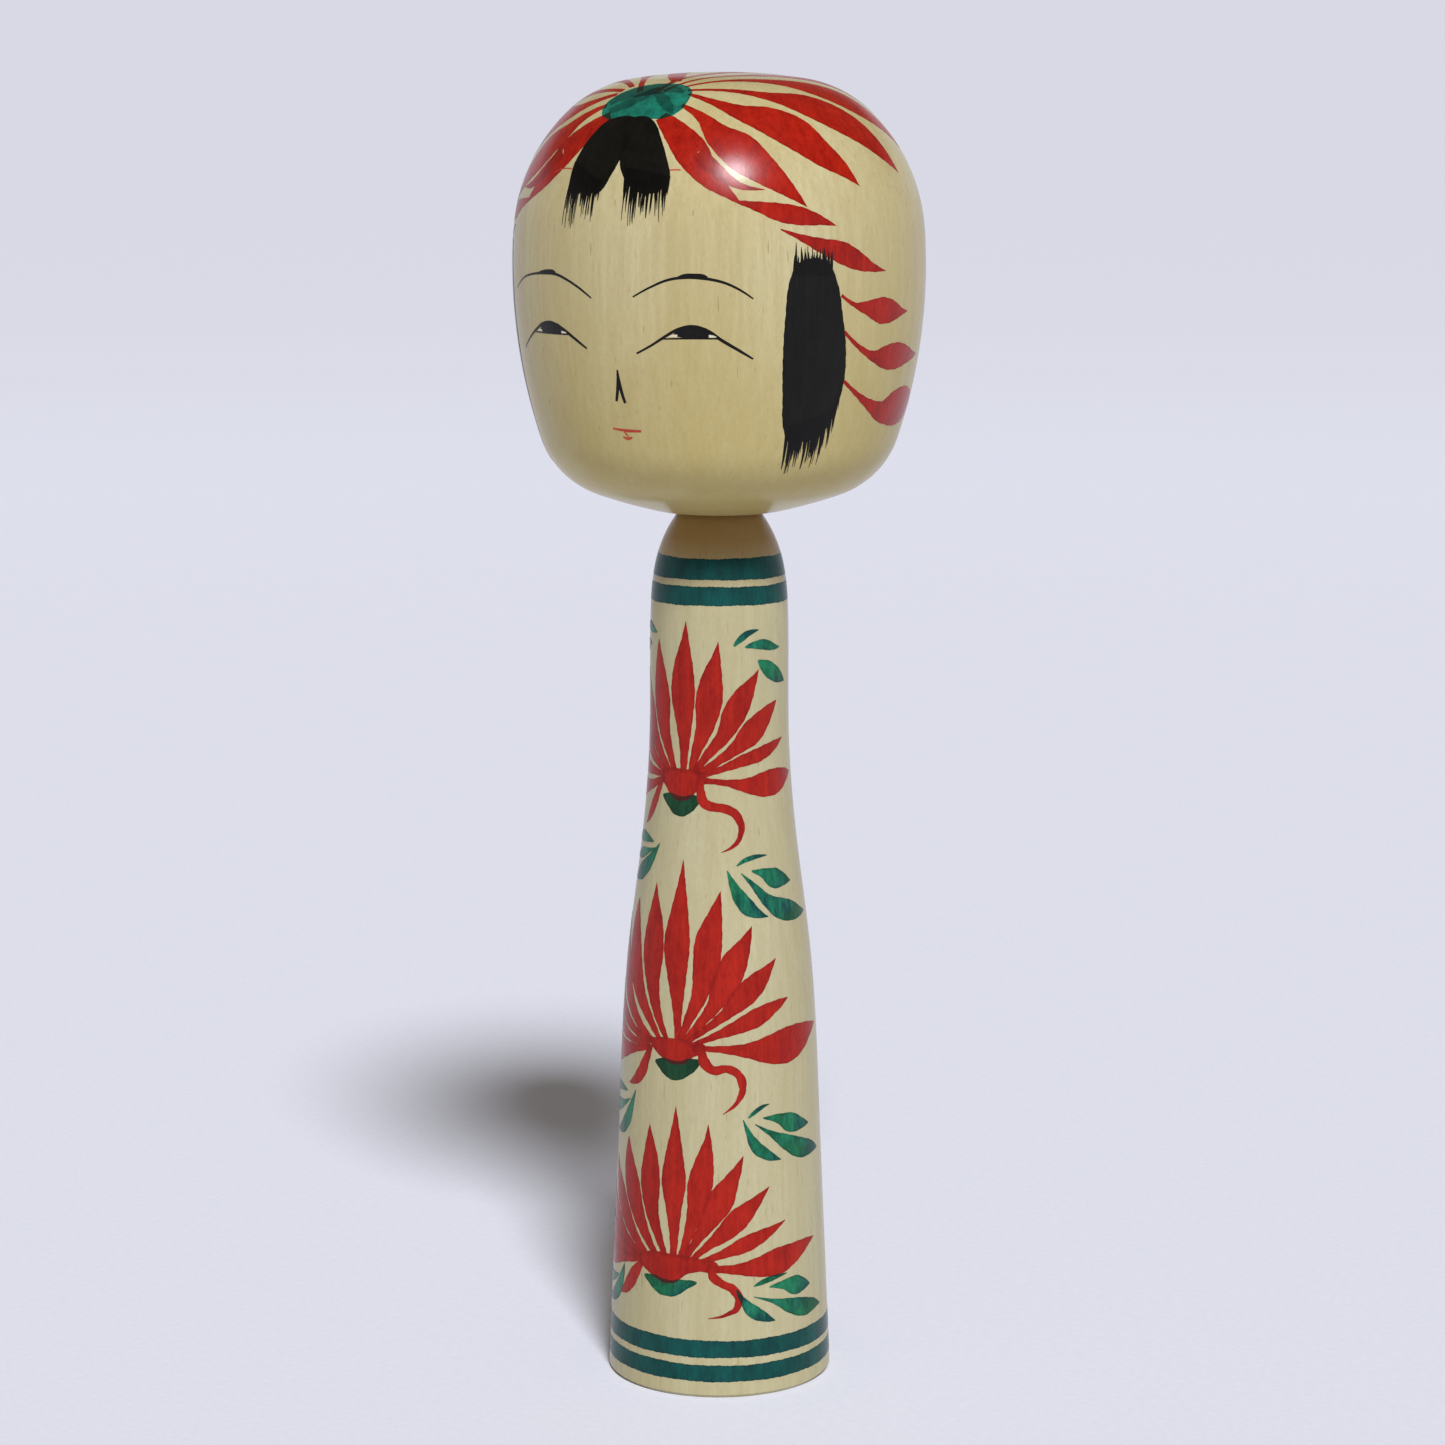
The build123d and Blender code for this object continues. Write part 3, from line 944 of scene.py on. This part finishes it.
FLOWERS["low"] = {
    "radius": 19.3,
    "calyx_dye": "leaf",
    "petals": LOW_PETALS,
    "bowl": [
        (-16.5, 25.3), (-10, 26.3), (5, 26.6), (20, 26.2), (31, 25), (31, 23.9), (20, 23.7), (13, 22.9),
        (8, 21.4), (2, 20.9), (-5, 21.6), (-12, 22.8), (-17, 24),
    ],
    "calyx": [
        (-12.7, 21.6), (-6, 22.1), (3, 21.6), (11, 22), (19.6, 21.7), (13, 20), (8, 18.8), (3, 18.5),
        (-3, 18.8), (-8, 20),
    ],
    "curl": [
        (27, 24.3, 0.6), (28.8, 22.6, 0.85), (34, 21.4, 0.7), (39, 20.4, 0.8), (41.8, 18.7, 0.75),
        (40.6, 16.9, 0.6), (35.5, 15.8, 0.35), (25.5, 15, 0.05),
    ],
    "drop": [(-14, 24, 0.4), (-20, 21.5, 1.2), (-25, 19, 1.3), (-30, 17.3, 0.8), (-33.6, 16.5, 0.1)],
}

# How much broader the petals are than their rows say
PETAL_FULLNESS = 1.07

# Sprigs of leaves between the flowers, and how far the wood is from the axis there
SPRIGS = {
    "left_upper": (12.8, [
        [(43.5, 138.3, 0.2), (50, 139.7, 0.6), (57, 140.6, 0.5), (65.5, 141, 0.06)],
        [(53, 138, 0.15), (62, 138.3, 0.7), (72, 138.2, 0.95), (82, 137.6, 0.6), (90, 137.4, 0.05)],
        [(65, 135.4, 0.2), (72, 134.3, 1.2), (80, 133.1, 1.5), (90, 131.9, 1.1), (98.5, 131, 0.1)],
    ]),
    "left_middle": (14.6, [
        [(44, 98.4, 0.12), (50, 99.3, 0.4), (58, 99.8, 0.4), (68, 99.9, 0.06)],
        [(55, 97.3, 0.15), (64, 96.7, 0.9), (73, 95.6, 1.85), (82, 95, 1.2), (90, 94.5, 0.06)],
        [(47, 97, 0.08), (56, 94.6, 0.55), (66, 91.7, 1.15), (76, 90, 1.9), (88, 89, 1.8), (98, 88.4, 1),
         (107, 88.1, 0.1)],
        [(37, 97.6, 0.08), (41, 95, 0.7), (46.5, 92.3, 1.3), (53, 90.3, 1.3), (59, 89.4, 0.7),
         (65.5, 88.8, 0.06)],
    ]),
    "left_lower": (18.4, [
        [(48, 52.3, 0.12), (52, 53.3, 0.4), (57, 54.2, 0.3), (61, 54.5, 0.05)],
        [(57, 52, 0.12), (67, 51.5, 0.9), (76, 50.3, 1.8), (84, 49.6, 1.2), (92.5, 49.1, 0.06)],
        [(52, 51, 0.08), (62, 48.9, 0.55), (72, 46.9, 1.4), (84, 45, 1.85), (95, 44.3, 1.2),
         (103.5, 43.6, 0.1)],
        [(45, 52, 0.08), (48, 49.5, 0.5), (53, 46.6, 1.1), (60, 44.9, 0.9), (68, 43.8, 0.06)],
    ]),
    "left_foot": (20.2, [
        [(50, 20.8, 0.12), (56, 21.5, 0.5), (63, 22, 0.4), (70, 22.3, 0.06)],
        [(59, 20.3, 0.12), (68, 20.2, 0.9), (76, 19.6, 1.8), (83, 19.2, 1.1), (88, 18.9, 0.06)],
        [(50, 18.8, 0.08), (62, 17.4, 0.5), (72, 16, 1.4), (83, 14.9, 1.7), (92, 14.6, 1),
         (98.5, 14.1, 0.1)],
        [(40.5, 20.3, 0.15), (44, 18.3, 0.6), (49, 16.2, 1.2), (55, 14.9, 0.95), (62, 13.8, 0.06)],
    ]),
    "right_upper": (12.8, [
        [(-31.5, 139.9, 0.1), (-40, 140.3, 0.7), (-50, 140.7, 0.9), (-62, 140.5, 0.06)],
        [(-44, 137.5, 0.1), (-54, 137.4, 0.8), (-66, 136.6, 1.1), (-78, 135.4, 0.06)],
    ]),
    "right_middle": (14.6, [
        [(-18.5, 101.5, 0.1), (-24, 99.4, 0.7), (-32, 97.1, 1.4), (-42, 95.3, 1.5), (-54, 94, 0.1)],
        [(-22, 100.6, 0.08), (-32, 99.7, 0.5), (-44, 98.8, 1), (-58, 97.8, 0.06)],
        [(-26, 101.6, 0.12), (-36, 101.9, 0.75), (-48, 101.9, 1), (-60, 101.2, 0.06)],
    ]),
    "right_lower": (18.4, [
        [(-25, 55.5, 0.08), (-29, 52.5, 0.7), (-34, 49.4, 1.3), (-41, 47.3, 1.1), (-50, 46.4, 0.06)],
        [(-31, 53.5, 0.08), (-40, 52, 0.6), (-52, 50.9, 1.2), (-64, 50.4, 0.06)],
        [(-35, 54.7, 0.08), (-46, 54.7, 0.7), (-58, 54.2, 0.8), (-70, 53.4, 0.06)],
    ]),
    "right_foot": (20.2, [
        [(-31, 22, 0.12), (-34, 19, 1), (-39, 16.3, 1.4), (-46, 14.6, 1.1), (-56, 13.7, 0.06)],
        [(-38, 19.3, 0.08), (-48, 18, 0.9), (-60, 17.2, 1.1), (-72, 16.8, 0.06)],
    ]),
}

# Bands round the foot and the shoulder: lowest and highest
BANDS = {
    "foot_low": (3.05, 6.2),
    "foot_high": (7.55, 10.85),
    "shoulder_low": (145.5, 148.9),
    "shoulder_high": (150.1, 153.9),
}


def paint_flower(name, flower):
    chart = Wrap(BODY, flower["radius"])
    calyx = patch(chart.flat(flower["calyx"]), 0.06)
    paint(f"{name}_calyx", chart, [calyx], flower["calyx_dye"])
    petals = []
    for rows in flower["petals"]:
        fuller = [(*place, half * PETAL_FULLNESS) for *place, half in rows]
        petals.append(brush(chart.flat(fuller), 0.06))
    petals.append(patch(chart.flat(flower["bowl"]), 0.05))
    petals.append(brush(chart.flat(flower["drop"]), 0.05))
    paint(f"{name}_petals", chart, petals, "red", under=[calyx], layer=1)
    curl = brush(chart.flat(flower["curl"]), 0.07)
    paint(f"{name}_curl", chart, [curl], "red", layer=2)
    return petals + [curl]


def paint_body():
    flowers = {name: paint_flower(f"flower_{name}", flower) for name, flower in FLOWERS.items()}
    # The lowest leaves cross the low flower, whose chart has another radius
    ratio = SPRIGS["left_foot"][0] / FLOWERS["low"]["radius"]
    below = [Stroke(s.ring * (ratio, 1), s.along, s.tone) for s in flowers["low"]]
    for name, (radius, leaves) in SPRIGS.items():
        chart = Wrap(BODY, radius)
        strokes = [brush(chart.flat(rows), 0.04) for rows in leaves]
        under = below if name == "left_foot" else ()
        paint(f"leaves_{name}", chart, strokes, "leaf", under=under, layer=3)
    for name, (low, high) in BANDS.items():
        paint_band(f"band_{name}", low, high)


turn_wood("body_wood", BODY, BODY_WOOD)
turn_wood("head_wood", HEAD, HEAD_WOOD)
paint_crown()
paint_fringe()
for side, mirror in (("left", False), ("right", True)):
    paint_side(side, mirror)
paint_face()
paint_body()


# ---- floor, light and camera

# The camera stands to the doll's left and a little above its head, and looks slightly down. In
# metres, degrees and, for the lens and the sensor, millimetres.
CAMERA_AZIMUTH = 31.5
CAMERA_DISTANCE = 0.660
CAMERA_HEIGHT = 0.233
CAMERA_PITCH = 9.52
CAMERA_YAW = 0.05
CAMERA_LENS = 90.8
SENSOR_WIDTH = 36.0

# The sheet is flat out to FLOOR_RADIUS, and sweeps up all round to a wall. The far sheet is lit
# evenly from behind: where that starts, and where it is all the light there. In metres.
FLOOR_RADIUS = 3.0
SWEEP_RADIUS = 1.0
WALL_HEIGHT = 1.5
GLOW_FROM = 1.6
GLOW_FULL = 2.6
SHEET_SPOKES = 96
SHEET_STEPS = 24
SHEET_ROUGHNESS = 0.9
SHEET_DEPTH = 0.00002
PAPER_PALE = colour(222, 222, 229)
PAPER_DARK = colour(217, 217, 225)
PAPER_GLOW = colour(215, 216, 228)

# One soft light, high on the camera's right and so far off that it falls evenly on the sheet
KEY_AZIMUTH = 43.0
KEY_ELEVATION = 47.0
KEY_DISTANCE = 8.0
KEY_ANGLE = 13.0
LIGHT_AIM = 0.15
KEY_STRENGTH = 3.86
KEY_COLOUR = (0.90, 0.93, 1.0)
SKY_STRENGTH = 0.14
SKY_COLOUR = (1.0, 0.88, 0.66, 1.0)


def round_axis(azimuth, distance, height):
    turn = math.radians(azimuth)
    return Vector((distance * math.sin(turn), -distance * math.cos(turn), height))


def make_floor():
    """A round sheet of pale paper that sweeps up into a wall, so that every view has it behind."""
    graph = Graph("pale_paper")
    fibre = graph.spread(graph.noise(*PAPER_FIBRES), 0.3, 0.7)
    base = graph.mix(fibre, PAPER_DARK, PAPER_PALE)
    measure = graph.add("ShaderNodeVectorMath", {"operation": "LENGTH"}, n0=graph.place())
    glow = graph.spread(measure.outputs["Value"], GLOW_FROM, GLOW_FULL)
    graph.set(graph.shader, "Base Color", graph.mix(glow, base, colour(0, 0, 0)))
    graph.set(graph.shader, "Emission Strength", glow)
    material = graph.gloss(
        SHEET_ROUGHNESS, fibre, SHEET_DEPTH, Specular_IOR_Level=0.1, Emission_Color=PAPER_GLOW
    )
    material.cycles.emission_sampling = "NONE"
    steps = range(1, SHEET_STEPS + 1)
    outline = [(FLOOR_RADIUS * k / SHEET_STEPS, 0.0) for k in steps]
    for k in steps:
        bend = math.pi / 2 * k / SHEET_STEPS
        out, up = SWEEP_RADIUS * math.sin(bend), SWEEP_RADIUS * (1 - math.cos(bend))
        outline.append((FLOOR_RADIUS + out, up))
    outline.append((FLOOR_RADIUS + SWEEP_RADIUS, WALL_HEIGHT))
    spokes = SHEET_SPOKES
    vertices, faces = [(0.0, 0.0, 0.0)], []
    for r, z in outline:
        vertices += [round_axis(360 * k / spokes, r, z) for k in range(spokes)]
    for k in range(spokes):
        n = (k + 1) % spokes
        faces.append((0, 1 + k, 1 + n))
        for row in range(len(outline) - 1):
            low, high = 1 + row * spokes, 1 + (row + 1) * spokes
            faces.append((low + k, high + k, high + n, low + n))
    floor = new_mesh("paper_sweep", vertices, faces, material)


def make_light():
    lamp = bpy.data.lights.new("softbox", "SUN")
    lamp.angle = math.radians(KEY_ANGLE)
    lamp.energy = KEY_STRENGTH
    lamp.color = KEY_COLOUR
    key = in_scene("softbox", lamp)
    aim = Vector((0, 0, LIGHT_AIM))
    reach = KEY_DISTANCE * math.cos(math.radians(KEY_ELEVATION))
    height = KEY_DISTANCE * math.sin(math.radians(KEY_ELEVATION))
    key.location = aim + round_axis(KEY_AZIMUTH, reach, height)
    key.rotation_euler = (aim - key.location).to_track_quat("-Z", "Y").to_euler()
    world = bpy.data.worlds.new("studio")
    bpy.context.scene.world = world
    world.use_nodes = True
    background = world.node_tree.nodes["Background"]
    background.inputs["Color"].default_value = SKY_COLOUR
    background.inputs["Strength"].default_value = SKY_STRENGTH


def make_camera():
    lens = bpy.data.cameras.new("camera")
    lens.sensor_width = SENSOR_WIDTH
    lens.lens = CAMERA_LENS
    lens.clip_start = 0.05
    camera = in_scene("camera", lens)
    camera.location = round_axis(CAMERA_AZIMUTH, CAMERA_DISTANCE, CAMERA_HEIGHT)
    camera.rotation_euler = (
        math.radians(90 - CAMERA_PITCH), 0, math.radians(CAMERA_AZIMUTH - CAMERA_YAW)
    )
    bpy.context.scene.camera = camera


make_floor()
make_light()
make_camera()
bpy.context.scene.view_settings.view_transform = "Standard"
